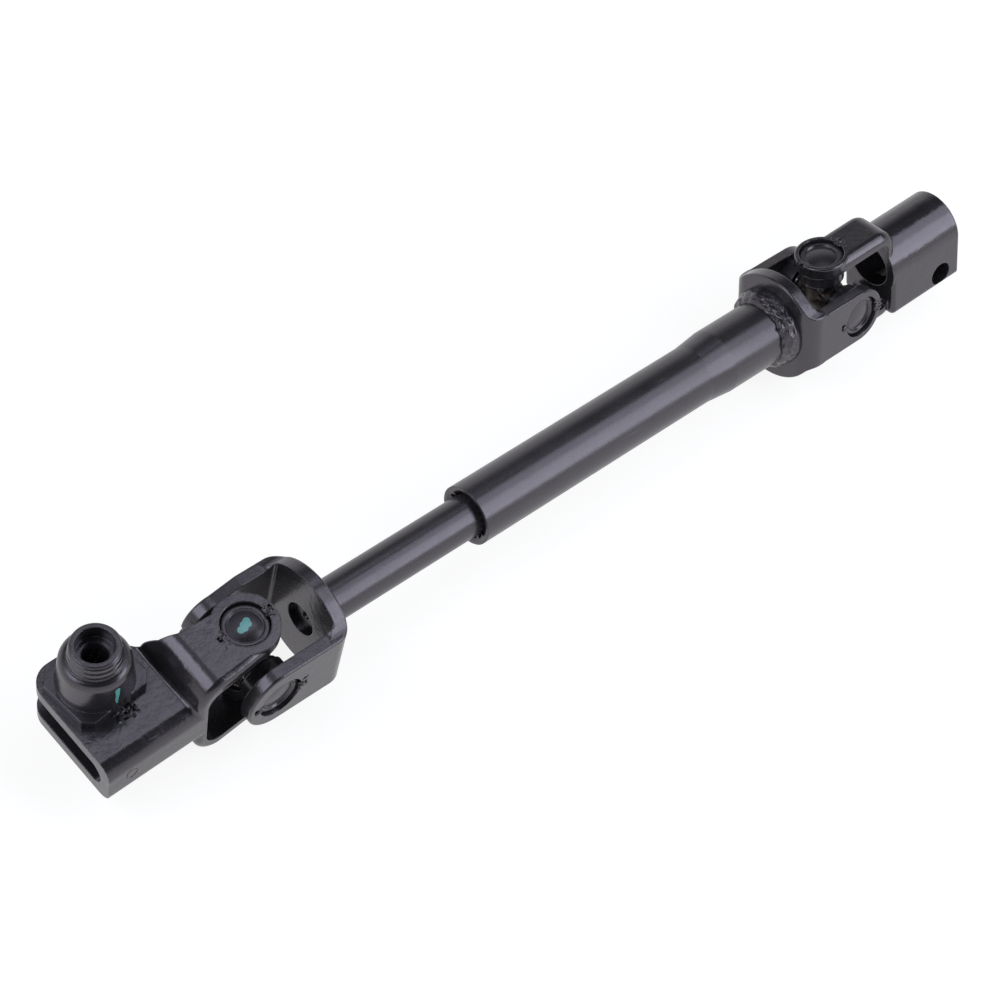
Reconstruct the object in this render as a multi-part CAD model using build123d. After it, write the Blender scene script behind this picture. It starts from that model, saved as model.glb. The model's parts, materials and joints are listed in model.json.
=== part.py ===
# Telescopic steering shaft with a universal joint at each end
#
# X runs along the shaft from the lower clamp yoke to the upper barrel yoke, Z is up.
# The origin is the centre of the upper yoke's bore where its splines begin.
# Lengths are in millimetres and angles in degrees.
from build123d import *
import math
import os

# Layout of the whole shaft
JOINT_SPACING = 265.8
LOWER_BEND = -4.3
UPPER_PHASE = -17.4
UPPER_BEND = -4.9
UPPER_TURN = -3.0

# Bearing cup, pressed into an ear with its closed end outward
CUP_RADIUS = 8.0
CUP_FACE = 17.9
CUP_LENGTH = 8.9
CUP_WALL = 1.2
CUP_FLOOR = 1.8
CUP_CORNER = 1.1
CUP_DOME_RADIUS = 5.7
CUP_DOME_HEIGHT = 0.7
CUP_GROOVE_WIDTH = 0.5
CUP_GROOVE_DEPTH = 0.7

# Cross, with its four trunnions, needles and seals
TRUNNION_RADIUS = 5.0
TRUNNION_CHAMFER = 0.8
TRUNNION_END_GAP = 0.3
NEEDLE_CLEARANCE = 0.05
NEEDLE_LENGTH = 5.8
NEEDLE_END_GAP = 0.4
SEAL_RADIUS = 7.1
SEAL_LENGTH = 1.5
SEAL_LIP = 0.4
SEAL_GAP = 0.3
SHOULDER_RADIUS = 6.4
HUB_RADIUS = 6.9
HUB_HALF = 5.0
HUB_FLAT_RADIUS = 5.9
HUB_FLAT_HEIGHT = 0.6

# Ears and the punched stakes that hold the cups
EAR_FACE = 19.0
EAR_WALL = 4.5
STAKE_LENGTH = 1.5
STAKE_WIDTH = 2.6
STAKE_DEPTH = 1.0
LUG_REACH = 0.8
LUG_GAP = 0.15

# Strap forks
BASE_WALL = 4.9
FORK_OUTER_CORNER = 6.5
FORK_INNER_CORNER = 1.2
FORK_EDGE = 0.8
SHAFT_FORK_HALF_WIDTH = 12.3
SHAFT_FORK_NEAR_TIP = 12.3
SHAFT_FORK_FAR_TIP = 10.0
SHAFT_FORK_REACH = 23.2
SHAFT_FORK_DISC = 20.0
SHAFT_FORK_HOLE = 6.0
TUBE_FORK_HALF_WIDTH = 10.6
TUBE_FORK_NEAR_TIP = 10.5
TUBE_FORK_FAR_TIP = 10.5
TUBE_FORK_REACH = 22.4
TUBE_FORK_DISC = 20.3
FORK_WAIST_RADIUS = 5.0

# Inner shaft
SHAFT_RADIUS = 7.4
SHAFT_END_RECESS = 2.2
CENTRE_DRILL_RADIUS = 1.5
CENTRE_DRILL_DEPTH = 3.0
SHAFT_SPLINE_START = 122.0
SHAFT_END = 182.0
SHAFT_CHAMFER = 1.0
SPLINE_TEETH = 18
SPLINE_ROOT_RADIUS = 7.5
SPLINE_TIP_RADIUS = 8.6
SPLINE_CLEARANCE = 0.08
SPLINE_TIP_SHARE = 0.36
SPLINE_ROOT_SHARE = 0.56

# Outer tube
TUBE_START = 93.5
TUBE_SPLINE_LENGTH = 70.0
TUBE_RADIUS = 10.8
TUBE_BORE = 8.95
TUBE_MOUTH_CHAMFER = 0.7
SWAGE_START = 199.0
SWAGE_END = 209.5
NECK_RADIUS = 11.9
NECK_BORE = 10.1

# Weld beads
TUBE_WELD_AXIAL = 7.0
TUBE_WELD_RADIAL = 3.8
SHAFT_WELD_AXIAL = 3.6
SHAFT_WELD_RADIAL = 3.4

# Lower clamp yoke
CLAMP_FRONT = 60.4
CLAMP_HALF = 9.15
CLAMP_SLOT_HALF = 4.8
CLAMP_WEB_FACE = 12.5
CLAMP_WEB_WALL = 4.4
CLAMP_WEB_CORNER = 5.2
CLAMP_FAR_EDGE = 29.5
CLAMP_FRONT_CORNER = 8.0
CLAMP_BREAK_X = 48.9
CLAMP_SLOPE_X = 28.9
CLAMP_SLOPE_Y = 19.5
CLAMP_WAIST_X = 23.6
CLAMP_WAIST_Y = 12.4
CLAMP_CAVITY = 23.5
CLAMP_ROOT_WALL = 3.4
CLAMP_CAVITY_CORNER = 6.0
CLAMP_CREASE = 1.8
CLAMP_ROOT_EDGE = 4.0
CLAMP_ARM_ROOT_X = 18.5
CLAMP_ARM_ROOT_Y = 9.8
CLAMP_ARM_Y = 8.8
CLAMP_ARM_X = 6.0
YOKE_EAR_RADIUS = 11.0
EAR_EDGE = 1.5
STAKE_PIT = 5.0
STAKE_PIT_DEPTH = 1.4
STAKE_FRONT = 9.8
STAKE_FAR = 7.4
STAKE_BACK = 1.4
STAKE_NEAR = 13.1
CLAMP_BOLT_RADIUS = 5.5
WEB_RING_X = 52.1
WEB_RING_Z = 1.3
WEB_RING_RADIUS = 2.3
WEB_RING_WIDTH = 0.5
WEB_RING_DEPTH = 0.25

# Nut on the clamp block
NUT_X = 45.0
NUT_Y = 15.3
NUT_FLANGE_LENGTH = 26.6
NUT_FLANGE_WIDTH = 23.0
NUT_FLANGE_TURN = 5.4
NUT_FLANGE_THICKNESS = 3.2
NUT_FLANGE_CORNER = 3.0
NUT_COLLAR_RADIUS = 12.1
NUT_COLLAR_HEIGHT = 6.0
NUT_SHOULDER_RADIUS = 11.4
NUT_SHOULDER_HEIGHT = 13.0
NUT_NECK_RADIUS = 8.8
NUT_NECK_HEIGHT = 16.4
NUT_TOP_RADIUS = 7.9
NUT_HEIGHT = 22.8
NUT_TOP_CHAMFER = 0.35
NUT_GROOVES = 3
NUT_GROOVE_DEPTH = 0.5
NUT_GROOVE_WIDTH = 1.0
NUT_COUNTERBORE = 6.15
NUT_COUNTERBORE_DEPTH = 5.2
NUT_THREAD_RADIUS = 4.4

# Upper yoke
BARREL_CAVITY = 24.0
BARREL_ROOT_WALL = 4.0
BARREL_CAVITY_CORNER = 3.0
BARREL_FRONT_EDGE = 1.5
BARREL_END = 57.3
BARREL_RADIUS = 12.4
BARREL_FOOT = 18.1
BARREL_CORNER = 2.5
ARM_NEAR = 9.6
ARM_FAR = 7.6
ARM_EDGE = 3.2
SPOT_RADIUS = 9.6
BORE_RADIUS = 8.0
BORE_RELIEF_END = 35.0
BORE_GROOVE_DEPTH = 0.6
BORE_GROOVES = 24
BORE_GROOVE_SHARE = 0.85
BORE_RELIEF = 0.9
BORE_MOUTH = 0.8
BORE_RUN_OUT = 5.0
SLIT_WIDTH = 3.4
SLIT_START = 30.0
CROSS_BOLT_X = 48.5
CROSS_BOLT_DROP = 12.4
CROSS_BOLT_RADIUS = 4.5

os.makedirs("parts", exist_ok=True)

# Where each group sits along the shaft
LOWER_YOKE_AT = Rot(0, LOWER_BEND, 0)
TUBE_FORK_AT = Pos(JOINT_SPACING, 0, 0) * Rot(UPPER_PHASE, 0, 0)
UPPER_CROSS_AT = TUBE_FORK_AT * Rot(0, UPPER_BEND, 0)
UPPER_YOKE_AT = UPPER_CROSS_AT * Rot(0, 0, UPPER_TURN)
MOUTH = (UPPER_YOKE_AT * Pos(BARREL_END - BORE_MOUTH, 0, 0)).position
TO_ORIGIN = Pos(-MOUTH.X, -MOUTH.Y, -MOUTH.Z)

# The four sides of a joint, each turning the Z axis outward along a trunnion
TOP = Rot(0, 0, 0)
BOTTOM = Rot(180, 0, 0)
NEAR = Rot(90, 0, 0)
FAR = Rot(-90, 0, 0)

TRUNNION_END = CUP_FACE - CUP_FLOOR - TRUNNION_END_GAP
CUP_START = CUP_FACE - CUP_LENGTH
SEAL_TOP = CUP_START - SEAL_GAP
SEAL_START = SEAL_TOP - SEAL_LENGTH


def soften(shape, edges, radius):
    """Round some edges, with a smaller radius where the full one doesn't fit."""
    for share in (1.0, 0.6, 0.3):
        try:
            rounded = fillet(edges, radius * share)
        except Exception:
            continue
        if rounded.is_valid and abs(rounded.volume / shape.volume - 1) < 0.2:
            return rounded
    return shape


def bar_x(radius, start, end):
    """A round bar along X between two places."""
    return Pos((start + end) / 2, 0, 0) * Rot(0, 90, 0) * Cylinder(radius, end - start)


def turned_x(points):
    """A body turned about the X axis from (x, radius) points."""
    return revolve(make_face(Polyline(*points, close=True)), Axis.X)


def turned_z(points):
    """A body turned about the Z axis from (radius, height) points."""
    return revolve(Plane.XZ * make_face(Polyline(*points, close=True)), Axis.Z)


def block(x0, x1, y0, y1, z0, z1):
    """A box between two corners."""
    size = Box(x1 - x0, y1 - y0, z1 - z0)
    return Pos((x0 + x1) / 2, (y0 + y1) / 2, (z0 + z1) / 2) * size


def flat_block(x0, x1, y0, y1):
    """A flat rectangle between two corners."""
    return Pos((x0 + x1) / 2, (y0 + y1) / 2) * Rectangle(x1 - x0, y1 - y0)


def toothed_outline(teeth, inner, outer, inner_share, outer_share):
    """A closed outline whose teeth rise from the inner to the outer radius."""
    points = []
    pitch = 2 * math.pi / teeth
    for tooth in range(teeth):
        middle = tooth * pitch
        for radius, step in (
            (inner, -inner_share / 2),
            (outer, -outer_share / 2),
            (outer, outer_share / 2),
            (inner, inner_share / 2),
        ):
            angle = middle + step * pitch
            points.append((radius * math.cos(angle), radius * math.sin(angle)))
    return make_face(Polyline(*points, close=True))


def toothed_bar(outline, start, end):
    """The outline drawn out along X between two places."""
    return Pos(start, 0, 0) * Rot(0, 90, 0) * extrude(outline, end - start)


def u_outline(cavity, wall, face, ear_wall, outer_corner, inner_corner, tip):
    """A flat U, open toward -X, with its base outside x = cavity."""
    outer = flat_block(-tip, cavity + wall, -face, face)
    outer = fillet(outer.vertices().sort_by(Axis.X)[-2:], outer_corner)
    inner = flat_block(-tip - 1, cavity, ear_wall - face, face - ear_wall)
    inner = fillet(inner.vertices().sort_by(Axis.X)[-2:], inner_corner)
    return outer - inner


def stakes():
    """Pits punched in an ear beside the bore, and the lugs they push over the cup."""
    pits = []
    lugs = []
    lug_floor = CUP_FACE + LUG_GAP
    lug_top = EAR_FACE - LUG_GAP
    for side in (-1, 1):
        edge = side * (CUP_RADIUS + LUG_REACH)
        pit = Pos(edge + side * STAKE_LENGTH / 2, 0, EAR_FACE)
        pits.append(pit * Box(STAKE_LENGTH, STAKE_WIDTH, 2 * STAKE_DEPTH))
        lug = Pos(side * (CUP_RADIUS - LUG_REACH / 4), 0, (lug_floor + lug_top) / 2)
        lugs.append(lug * Box(1.5 * LUG_REACH, STAKE_WIDTH, lug_top - lug_floor))
    return Compound(children=pits), Compound(children=lugs)


def with_cup_bores(shape, places):
    """Bore the ears for their cups and stake them."""
    for place in places:
        shape -= place * Pos(0, 0, EAR_FACE) * Cylinder(CUP_RADIUS, 3 * EAR_WALL)
    pits, lugs = stakes()
    for place in places:
        for pit in pits.children:
            shape -= place * pit
        for lug in lugs.children:
            shape += place * lug
    return shape


def bearing_cup():
    """A drawn cup along Z, with a low dome inside a groove in its closed end."""
    bottom = CUP_FACE - CUP_FLOOR
    valley = CUP_FACE - CUP_GROOVE_DEPTH
    points = [(0, valley + CUP_DOME_HEIGHT)]
    steps = 6
    for step in range(1, steps + 1):
        share = step / steps
        points.append((CUP_DOME_RADIUS * share, valley + CUP_DOME_HEIGHT * (1 - share**2)))
    points.append((CUP_DOME_RADIUS + CUP_GROOVE_WIDTH, CUP_FACE))
    points.append((CUP_RADIUS, CUP_FACE))
    points.append((CUP_RADIUS, CUP_START))
    points.append((CUP_RADIUS - CUP_WALL, CUP_START))
    points.append((CUP_RADIUS - CUP_WALL, bottom))
    points.append((0, bottom))
    cup = turned_z(points)
    rim = cup.edges().filter_by(GeomType.CIRCLE)
    rim = rim.filter_by(lambda e: abs(e.radius - CUP_RADIUS) < 0.01)
    return soften(cup, rim.sort_by(Axis.Z)[-1:], CUP_CORNER)


def needle_ring():
    """The ring that the needle rollers fill between trunnion and cup."""
    outer = CUP_RADIUS - CUP_WALL
    inner = TRUNNION_RADIUS + NEEDLE_CLEARANCE
    end = CUP_FACE - CUP_FLOOR - NEEDLE_END_GAP
    ring = Cylinder(outer, NEEDLE_LENGTH) - Cylinder(inner, NEEDLE_LENGTH)
    return Pos(0, 0, end - NEEDLE_LENGTH / 2) * ring


def lip_seal():
    """A rubber ring on the trunnion's root, with a rounded lip."""
    return turned_z(
        [
            (TRUNNION_RADIUS, SEAL_START),
            (SEAL_RADIUS - SEAL_LIP, SEAL_START),
            (SEAL_RADIUS, SEAL_START + SEAL_LIP),
            (SEAL_RADIUS, SEAL_TOP - SEAL_LIP),
            (SEAL_RADIUS - SEAL_LIP, SEAL_TOP),
            (TRUNNION_RADIUS, SEAL_TOP),
        ]
    )


def cross():
    """Four trunnions on a hub with a flat round face at each side."""
    hub = bar_x(HUB_RADIUS, -HUB_HALF, HUB_HALF)
    hub += bar_x(HUB_FLAT_RADIUS, -HUB_HALF - HUB_FLAT_HEIGHT, HUB_HALF + HUB_FLAT_HEIGHT)
    trunnion = turned_z(
        [
            (0, 0),
            (SHOULDER_RADIUS, 0),
            (SHOULDER_RADIUS, SEAL_START),
            (TRUNNION_RADIUS, SEAL_START),
            (TRUNNION_RADIUS, TRUNNION_END - TRUNNION_CHAMFER),
            (TRUNNION_RADIUS - TRUNNION_CHAMFER, TRUNNION_END),
            (0, TRUNNION_END),
        ]
    )
    body = hub
    for place in (TOP, BOTTOM, NEAR, FAR):
        body += place * trunnion
    return body


def ear_sides(half_width, tip, reach, disc):
    """One ear seen from its side: round at the tip, flaring into the base."""
    outer = reach + BASE_WALL
    wide = disc + BASE_WALL
    sides = Polyline(
        (0, -tip),
        (tip, -half_width),
        (reach, -half_width),
        (reach, -wide),
        (outer, -wide),
        (outer, wide),
        (reach, wide),
        (reach, half_width),
        (tip, half_width),
        (0, tip),
        close=True,
    )
    sides = make_face(sides)
    sides = fillet(corners_at(sides, reach, half_width), FORK_WAIST_RADIUS)
    return sides + Circle(tip)


def strap_fork(half_width, near_tip, far_tip, reach, disc):
    """A U strap with ears along Y, open toward -X, and a round base plate."""
    outer = reach + BASE_WALL
    outline = u_outline(
        reach, BASE_WALL, EAR_FACE, EAR_WALL, FORK_OUTER_CORNER, FORK_INNER_CORNER, half_width
    )
    strap = extrude(outline, disc + BASE_WALL, both=True)
    near = Rot(90, 0, 0) * extrude(ear_sides(half_width, near_tip, reach, disc), EAR_FACE)
    far = Rot(-90, 0, 0) * extrude(ear_sides(half_width, far_tip, reach, disc), EAR_FACE)
    plate = Circle(disc) + Rectangle(4 * EAR_FACE, 2 * half_width)
    meeting = math.sqrt(disc**2 - half_width**2)
    plate = fillet(corners_at(plate, meeting, half_width), FORK_WAIST_RADIUS)
    strap = strap & extrude(Plane.YZ * plate, 2 * outer, both=True)
    fork = (strap & near) + (strap & far)
    fork = soften(fork, face_edges(fork, Axis.Y, EAR_FACE), FORK_EDGE)
    return with_cup_bores(fork, (NEAR, FAR))


def corners_at(outline, across, up):
    """The corners of an outline at given distances from its two axes."""
    found = []
    for corner in outline.vertices():
        if abs(abs(corner.X) - across) < 0.01 and abs(abs(corner.Y) - up) < 0.01:
            found.append(corner)
    return found


def face_edges(shape, axis, distance):
    """The outline edges of the two outermost flat faces along an axis."""
    found = []
    faces = shape.faces().filter_by(axis)
    for face in (faces.sort_by(axis)[0], faces.sort_by(axis)[-1]):
        found.extend(face.outer_wire().edges())
    return found


def weld_bead(start, radius, axial, radial):
    """A convex bead round a bar, against a flat face at x = start."""
    points = [(start, radius)]
    steps = 5
    for step in range(steps + 1):
        angle = math.pi / 2 * step / steps
        reach = 0.45 * math.cos(angle) + 0.55 * (1 - step / steps)
        height = 0.45 * math.sin(angle) + 0.55 * step / steps
        points.append((start - axial * reach, radius + radial * height))
    return turned_x(points)


def inner_shaft():
    """The sliding bar, with a stepped end in the fork and splines at the other."""
    fork_face = SHAFT_FORK_REACH + BASE_WALL
    spigot = SHAFT_FORK_REACH + SHAFT_END_RECESS
    bar = bar_x(SHAFT_FORK_HOLE, spigot, fork_face)
    bar += turned_x(
        [
            (fork_face, 0),
            (fork_face, SHAFT_RADIUS),
            (SHAFT_END - SHAFT_CHAMFER, SHAFT_RADIUS),
            (SHAFT_END, SHAFT_RADIUS - SHAFT_CHAMFER),
            (SHAFT_END, 0),
        ]
    )
    teeth = toothed_outline(
        SPLINE_TEETH, SPLINE_ROOT_RADIUS, SPLINE_TIP_RADIUS, SPLINE_ROOT_SHARE, SPLINE_TIP_SHARE
    )
    bar += toothed_bar(teeth, SHAFT_SPLINE_START, SHAFT_END - SHAFT_CHAMFER)
    drill = turned_x([(0, 0), (0, CENTRE_DRILL_RADIUS), (CENTRE_DRILL_DEPTH, 0)])
    bar -= Pos(spigot, 0, 0) * drill
    return bar


def outer_tube():
    """The tube with splines inside its open end and a swaged neck at the fork."""
    tube_end = JOINT_SPACING - TUBE_FORK_REACH - BASE_WALL
    spline_end = TUBE_START + TUBE_SPLINE_LENGTH
    tube = turned_x(
        [
            (TUBE_START, TUBE_BORE + TUBE_MOUTH_CHAMFER),
            (TUBE_START, TUBE_RADIUS),
            (SWAGE_START, TUBE_RADIUS),
            (SWAGE_END, NECK_RADIUS),
            (tube_end, NECK_RADIUS),
            (tube_end, NECK_BORE),
            (SWAGE_END, NECK_BORE),
            (SWAGE_START, TUBE_BORE),
            (spline_end, TUBE_BORE),
            (spline_end, SPLINE_ROOT_RADIUS - SPLINE_CLEARANCE),
            (TUBE_START + 2 * TUBE_MOUTH_CHAMFER, SPLINE_ROOT_RADIUS - SPLINE_CLEARANCE),
        ]
    )
    slack = SPLINE_CLEARANCE * SPLINE_TEETH / (math.pi * SPLINE_ROOT_RADIUS)
    grooves = toothed_outline(
        SPLINE_TEETH,
        SPLINE_ROOT_RADIUS + SPLINE_CLEARANCE,
        SPLINE_TIP_RADIUS + SPLINE_CLEARANCE,
        SPLINE_ROOT_SHARE + slack,
        SPLINE_TIP_SHARE + slack,
    )
    tube -= toothed_bar(grooves, TUBE_START - 1, spline_end + 1)
    return tube


def yoke_ears(cavity, root_wall, corner, depth):
    """Two ears along Z joined at a rounded root, open toward -X."""
    outline = u_outline(
        cavity, root_wall, EAR_FACE, EAR_WALL, corner + root_wall, corner, YOKE_EAR_RADIUS + 1
    )
    return Plane.XZ * extrude(outline, depth, both=True)


def clamp_plan():
    """Plan of the clamp yoke with its block toward -X and its clamp edge toward +Y."""
    cheeks = Polyline(
        (-CLAMP_FRONT, -CLAMP_WEB_FACE),
        (-CLAMP_WAIST_X, -CLAMP_WEB_FACE),
        (-CLAMP_WAIST_X, CLAMP_WAIST_Y),
        (-CLAMP_SLOPE_X, CLAMP_SLOPE_Y),
        (-CLAMP_BREAK_X, CLAMP_FAR_EDGE),
        (-CLAMP_FRONT, CLAMP_FAR_EDGE),
        close=True,
    )
    cheeks = make_face(cheeks)
    corner = cheeks.vertices().sort_by(Axis.Y)[-2:].sort_by(Axis.X)[:1]
    cheeks = fillet(corner, CLAMP_FRONT_CORNER)
    ears = Polyline(
        (0, -YOKE_EAR_RADIUS),
        (-CLAMP_ARM_X, -YOKE_EAR_RADIUS - 0.7),
        (-CLAMP_ARM_ROOT_X, -CLAMP_WEB_FACE),
        (-CLAMP_WAIST_X, -CLAMP_WEB_FACE),
        (-CLAMP_WAIST_X, CLAMP_WAIST_Y),
        (-CLAMP_ARM_ROOT_X, CLAMP_ARM_ROOT_Y),
        (-CLAMP_ARM_X, CLAMP_ARM_Y),
        (0, CLAMP_ARM_Y),
        close=True,
    )
    return cheeks + make_face(ears) + Circle(YOKE_EAR_RADIUS)


def clamp_yoke():
    """The lower yoke: ears, a rounded root and a slotted clamp block."""
    plan = extrude(clamp_plan(), EAR_FACE, both=True)
    depth = CLAMP_FAR_EDGE + 1
    ears = Rot(0, 0, 180) * yoke_ears(
        CLAMP_CAVITY, CLAMP_ROOT_WALL, CLAMP_CAVITY_CORNER, depth
    )
    ears = ears & plan
    ears = soften(ears, root_edges(ears), CLAMP_ROOT_EDGE)
    ears = soften(ears, face_edges(ears, Axis.Z, EAR_FACE), EAR_EDGE)
    cheeks = block(
        -CLAMP_FRONT, -CLAMP_CAVITY, -CLAMP_WEB_FACE, depth, -CLAMP_HALF, CLAMP_HALF
    )
    cheeks = soften(cheeks, web_edges(cheeks), CLAMP_WEB_CORNER)
    body = ears + (cheeks & plan)
    body = soften(body, crease_edges(body, -CLAMP_CAVITY - CLAMP_ROOT_WALL), CLAMP_CREASE)
    slot_floor = CLAMP_WEB_WALL - CLAMP_WEB_FACE + CLAMP_SLOT_HALF
    slot = flat_block(slot_floor, depth, -CLAMP_SLOT_HALF, CLAMP_SLOT_HALF)
    slot += Pos(slot_floor, 0) * Circle(CLAMP_SLOT_HALF)
    slot_length = CLAMP_FRONT - CLAMP_CAVITY + 2
    body -= Pos(-CLAMP_FRONT - 1, 0, 0) * extrude(Plane.YZ * slot, slot_length)
    body -= Pos(-NUT_X, NUT_Y, 0) * Cylinder(CLAMP_BOLT_RADIUS, 3 * CLAMP_HALF)
    far_pit = (-NUT_X - STAKE_FRONT, NUT_Y + STAKE_FAR)
    near_pit = (STAKE_BACK - NUT_X, NUT_Y - STAKE_NEAR)
    for x, y in (far_pit, near_pit):
        pit = Box(STAKE_PIT, STAKE_PIT, 2 * STAKE_PIT_DEPTH)
        body -= Pos(x, y, CLAMP_HALF) * pit
    ring = Cylinder(WEB_RING_RADIUS, 2 * WEB_RING_DEPTH)
    ring -= Cylinder(WEB_RING_RADIUS - WEB_RING_WIDTH, 2 * WEB_RING_DEPTH)
    body -= Pos(-WEB_RING_X, -CLAMP_WEB_FACE, WEB_RING_Z) * Rot(90, 0, 0) * ring
    return with_cup_bores(body, (TOP, BOTTOM))


def crease_edges(shape, x):
    """The inward corners between the cheeks and the rounded root."""
    found = []
    for edge in shape.edges().filter_by(Axis.Y):
        middle = edge.center()
        if abs(abs(middle.Z) - CLAMP_HALF) < 0.05 and abs(middle.X - x) < 1.5:
            found.append(edge)
    return found


def root_edges(shape):
    """The curved edges of the ears' rounded root, near and far."""
    found = []
    for edge in shape.edges().filter_by(GeomType.CIRCLE):
        outer = CLAMP_CAVITY_CORNER + CLAMP_ROOT_WALL
        if abs(edge.radius - outer) < 0.01 and edge.center().Y < 0:
            found.append(edge)
    return found


def web_edges(shape):
    """The two long corners of the clamp block's closed side."""
    found = []
    for edge in shape.edges().filter_by(Axis.X):
        middle = edge.center()
        if middle.Y < 0.5 - CLAMP_WEB_FACE and edge.length > CLAMP_HALF:
            found.append(edge)
    return found


def clamp_nut():
    """A domed nut on an oblong flange, with grooves round its neck."""
    oblong = Rectangle(NUT_FLANGE_LENGTH, NUT_FLANGE_WIDTH)
    oblong = chamfer(oblong.vertices(), NUT_FLANGE_CORNER)
    flange = Rot(0, 0, NUT_FLANGE_TURN) * extrude(oblong, NUT_FLANGE_THICKNESS)
    points = [
        (0, 0),
        (NUT_COLLAR_RADIUS, 0),
        (NUT_COLLAR_RADIUS, NUT_COLLAR_HEIGHT),
        (NUT_SHOULDER_RADIUS, NUT_SHOULDER_HEIGHT),
    ]
    steps = 5
    crown = NUT_SHOULDER_RADIUS - NUT_NECK_RADIUS
    for step in range(1, steps + 1):
        angle = math.pi / 2 * step / steps
        inward = crown * (1 - math.cos(angle))
        upward = (NUT_NECK_HEIGHT - NUT_SHOULDER_HEIGHT) * math.sin(angle)
        points.append((NUT_SHOULDER_RADIUS - inward, NUT_SHOULDER_HEIGHT + upward))
    taper = NUT_NECK_RADIUS - NUT_TOP_RADIUS
    rise = NUT_HEIGHT - NUT_NECK_HEIGHT
    for groove in range(NUT_GROOVES):
        share = (groove + 0.5) / NUT_GROOVES
        height = NUT_NECK_HEIGHT + rise * share
        radius = NUT_NECK_RADIUS - taper * share
        points.append((radius, height - NUT_GROOVE_WIDTH / 2))
        points.append((radius - NUT_GROOVE_DEPTH, height - NUT_GROOVE_WIDTH / 4))
        points.append((radius - NUT_GROOVE_DEPTH, height + NUT_GROOVE_WIDTH / 4))
        points.append((radius, height + NUT_GROOVE_WIDTH / 2))
    points.append((NUT_TOP_RADIUS, NUT_HEIGHT - NUT_TOP_CHAMFER))
    points.append((NUT_TOP_RADIUS - NUT_TOP_CHAMFER, NUT_HEIGHT))
    points.append((0, NUT_HEIGHT))
    nut = flange + turned_z(points)
    hole_top = NUT_HEIGHT - NUT_COUNTERBORE_DEPTH
    nut -= Pos(0, 0, NUT_HEIGHT / 2) * Cylinder(NUT_THREAD_RADIUS, NUT_HEIGHT + 2)
    nut -= Pos(0, 0, hole_top + NUT_HEIGHT / 2) * Cylinder(NUT_COUNTERBORE, NUT_HEIGHT)
    return Pos(-NUT_X, NUT_Y, CLAMP_HALF) * nut


def crown_edges(shape):
    """The long outer edges of the arms and of their rounded roots."""
    found = []
    for edge in shape.edges():
        middle = edge.center()
        outside = abs(middle.Z) > EAR_FACE - 0.5 and edge.length > BARREL_CAVITY / 2
        outer_round = BARREL_CAVITY_CORNER + BARREL_ROOT_WALL
        if edge.geom_type == GeomType.CIRCLE:
            outside = abs(edge.radius - outer_round) < 0.01
        if outside and abs(middle.Y - (ARM_FAR - ARM_NEAR) / 2) > 1:
            found.append(edge)
    return found


def upper_yoke():
    """The upper yoke: ears, a hump and a split barrel with a splined bore."""
    body = yoke_ears(BARREL_CAVITY, BARREL_ROOT_WALL, BARREL_CAVITY_CORNER, YOKE_EAR_RADIUS)
    body &= block(0, BARREL_END, -ARM_NEAR, ARM_FAR, -EAR_FACE, EAR_FACE)
    body = soften(body, crown_edges(body), ARM_EDGE)
    for side in (-1, 1):
        boss = Cylinder(SPOT_RADIUS, EAR_WALL)
        face = boss.edges().sort_by(Axis.Z)[-1 if side > 0 else 0]
        boss = soften(boss, [face], EAR_EDGE / 2)
        body += Pos(0, 0, side * (EAR_FACE - EAR_WALL / 2)) * boss
    foot = block(
        BARREL_CAVITY, BARREL_END, -BARREL_RADIUS, BARREL_RADIUS, -BARREL_FOOT, 0
    )
    foot = soften(foot, foot.edges().filter_by(Axis.X).sort_by(Axis.Z)[:2], BARREL_CORNER)
    foot = soften(foot, foot.edges().filter_by(Axis.Z).sort_by(Axis.X)[:2], BARREL_FRONT_EDGE)
    body += foot
    body += bar_x(BARREL_RADIUS, BARREL_CAVITY, BARREL_END)
    body -= bar_x(BORE_RADIUS, BORE_RELIEF_END - 1, BARREL_END)
    inner = BORE_RADIUS - BORE_GROOVE_DEPTH
    grooves = toothed_outline(
        BORE_GROOVES, inner, BORE_RADIUS + BORE_GROOVE_DEPTH, BORE_GROOVE_SHARE, 0.15
    )
    body -= toothed_bar(grooves, BORE_RELIEF_END - 1, BARREL_END)
    body -= bar_x(BORE_RADIUS + BORE_RELIEF, BARREL_CAVITY - BORE_RUN_OUT, BORE_RELIEF_END)
    body -= bar_x(BORE_RADIUS + BORE_RELIEF, BARREL_END - BORE_MOUTH, BARREL_END + 1)
    body -= block(
        SLIT_START, BARREL_END + 1, -SLIT_WIDTH / 2, SLIT_WIDTH / 2, -BARREL_FOOT - 1, 0
    )
    bolt = Pos(CROSS_BOLT_X, 0, -CROSS_BOLT_DROP) * Rot(90, 0, 0)
    body -= bolt * Cylinder(CROSS_BOLT_RADIUS, 3 * BARREL_RADIUS)
    return with_cup_bores(body, (TOP, BOTTOM))


def save(name, place, shape):
    """Write one piece, set in its place in the shared frame."""
    solids = (TO_ORIGIN * place * shape).solids()
    piece = solids[0] if len(solids) == 1 else Compound(children=solids)
    export_step(piece, f"parts/{name}.step")


def save_joint(name, cross_at, fork_at, yoke_at):
    """Write a joint's cross, cups, needles and seals."""
    save(f"{name}_cross", cross_at, cross())
    cup = bearing_cup()
    ring = needle_ring()
    seal = lip_seal()
    sides = (
        ("top", TOP, yoke_at),
        ("bottom", BOTTOM, yoke_at),
        ("near", NEAR, fork_at),
        ("far", FAR, fork_at),
    )
    for side, turn, holder in sides:
        save(f"{name}_cup_{side}", holder * turn, cup)
        save(f"{name}_needles_{side}", holder * turn, ring)
        save(f"{name}_seal_{side}", cross_at * turn, seal)


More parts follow.
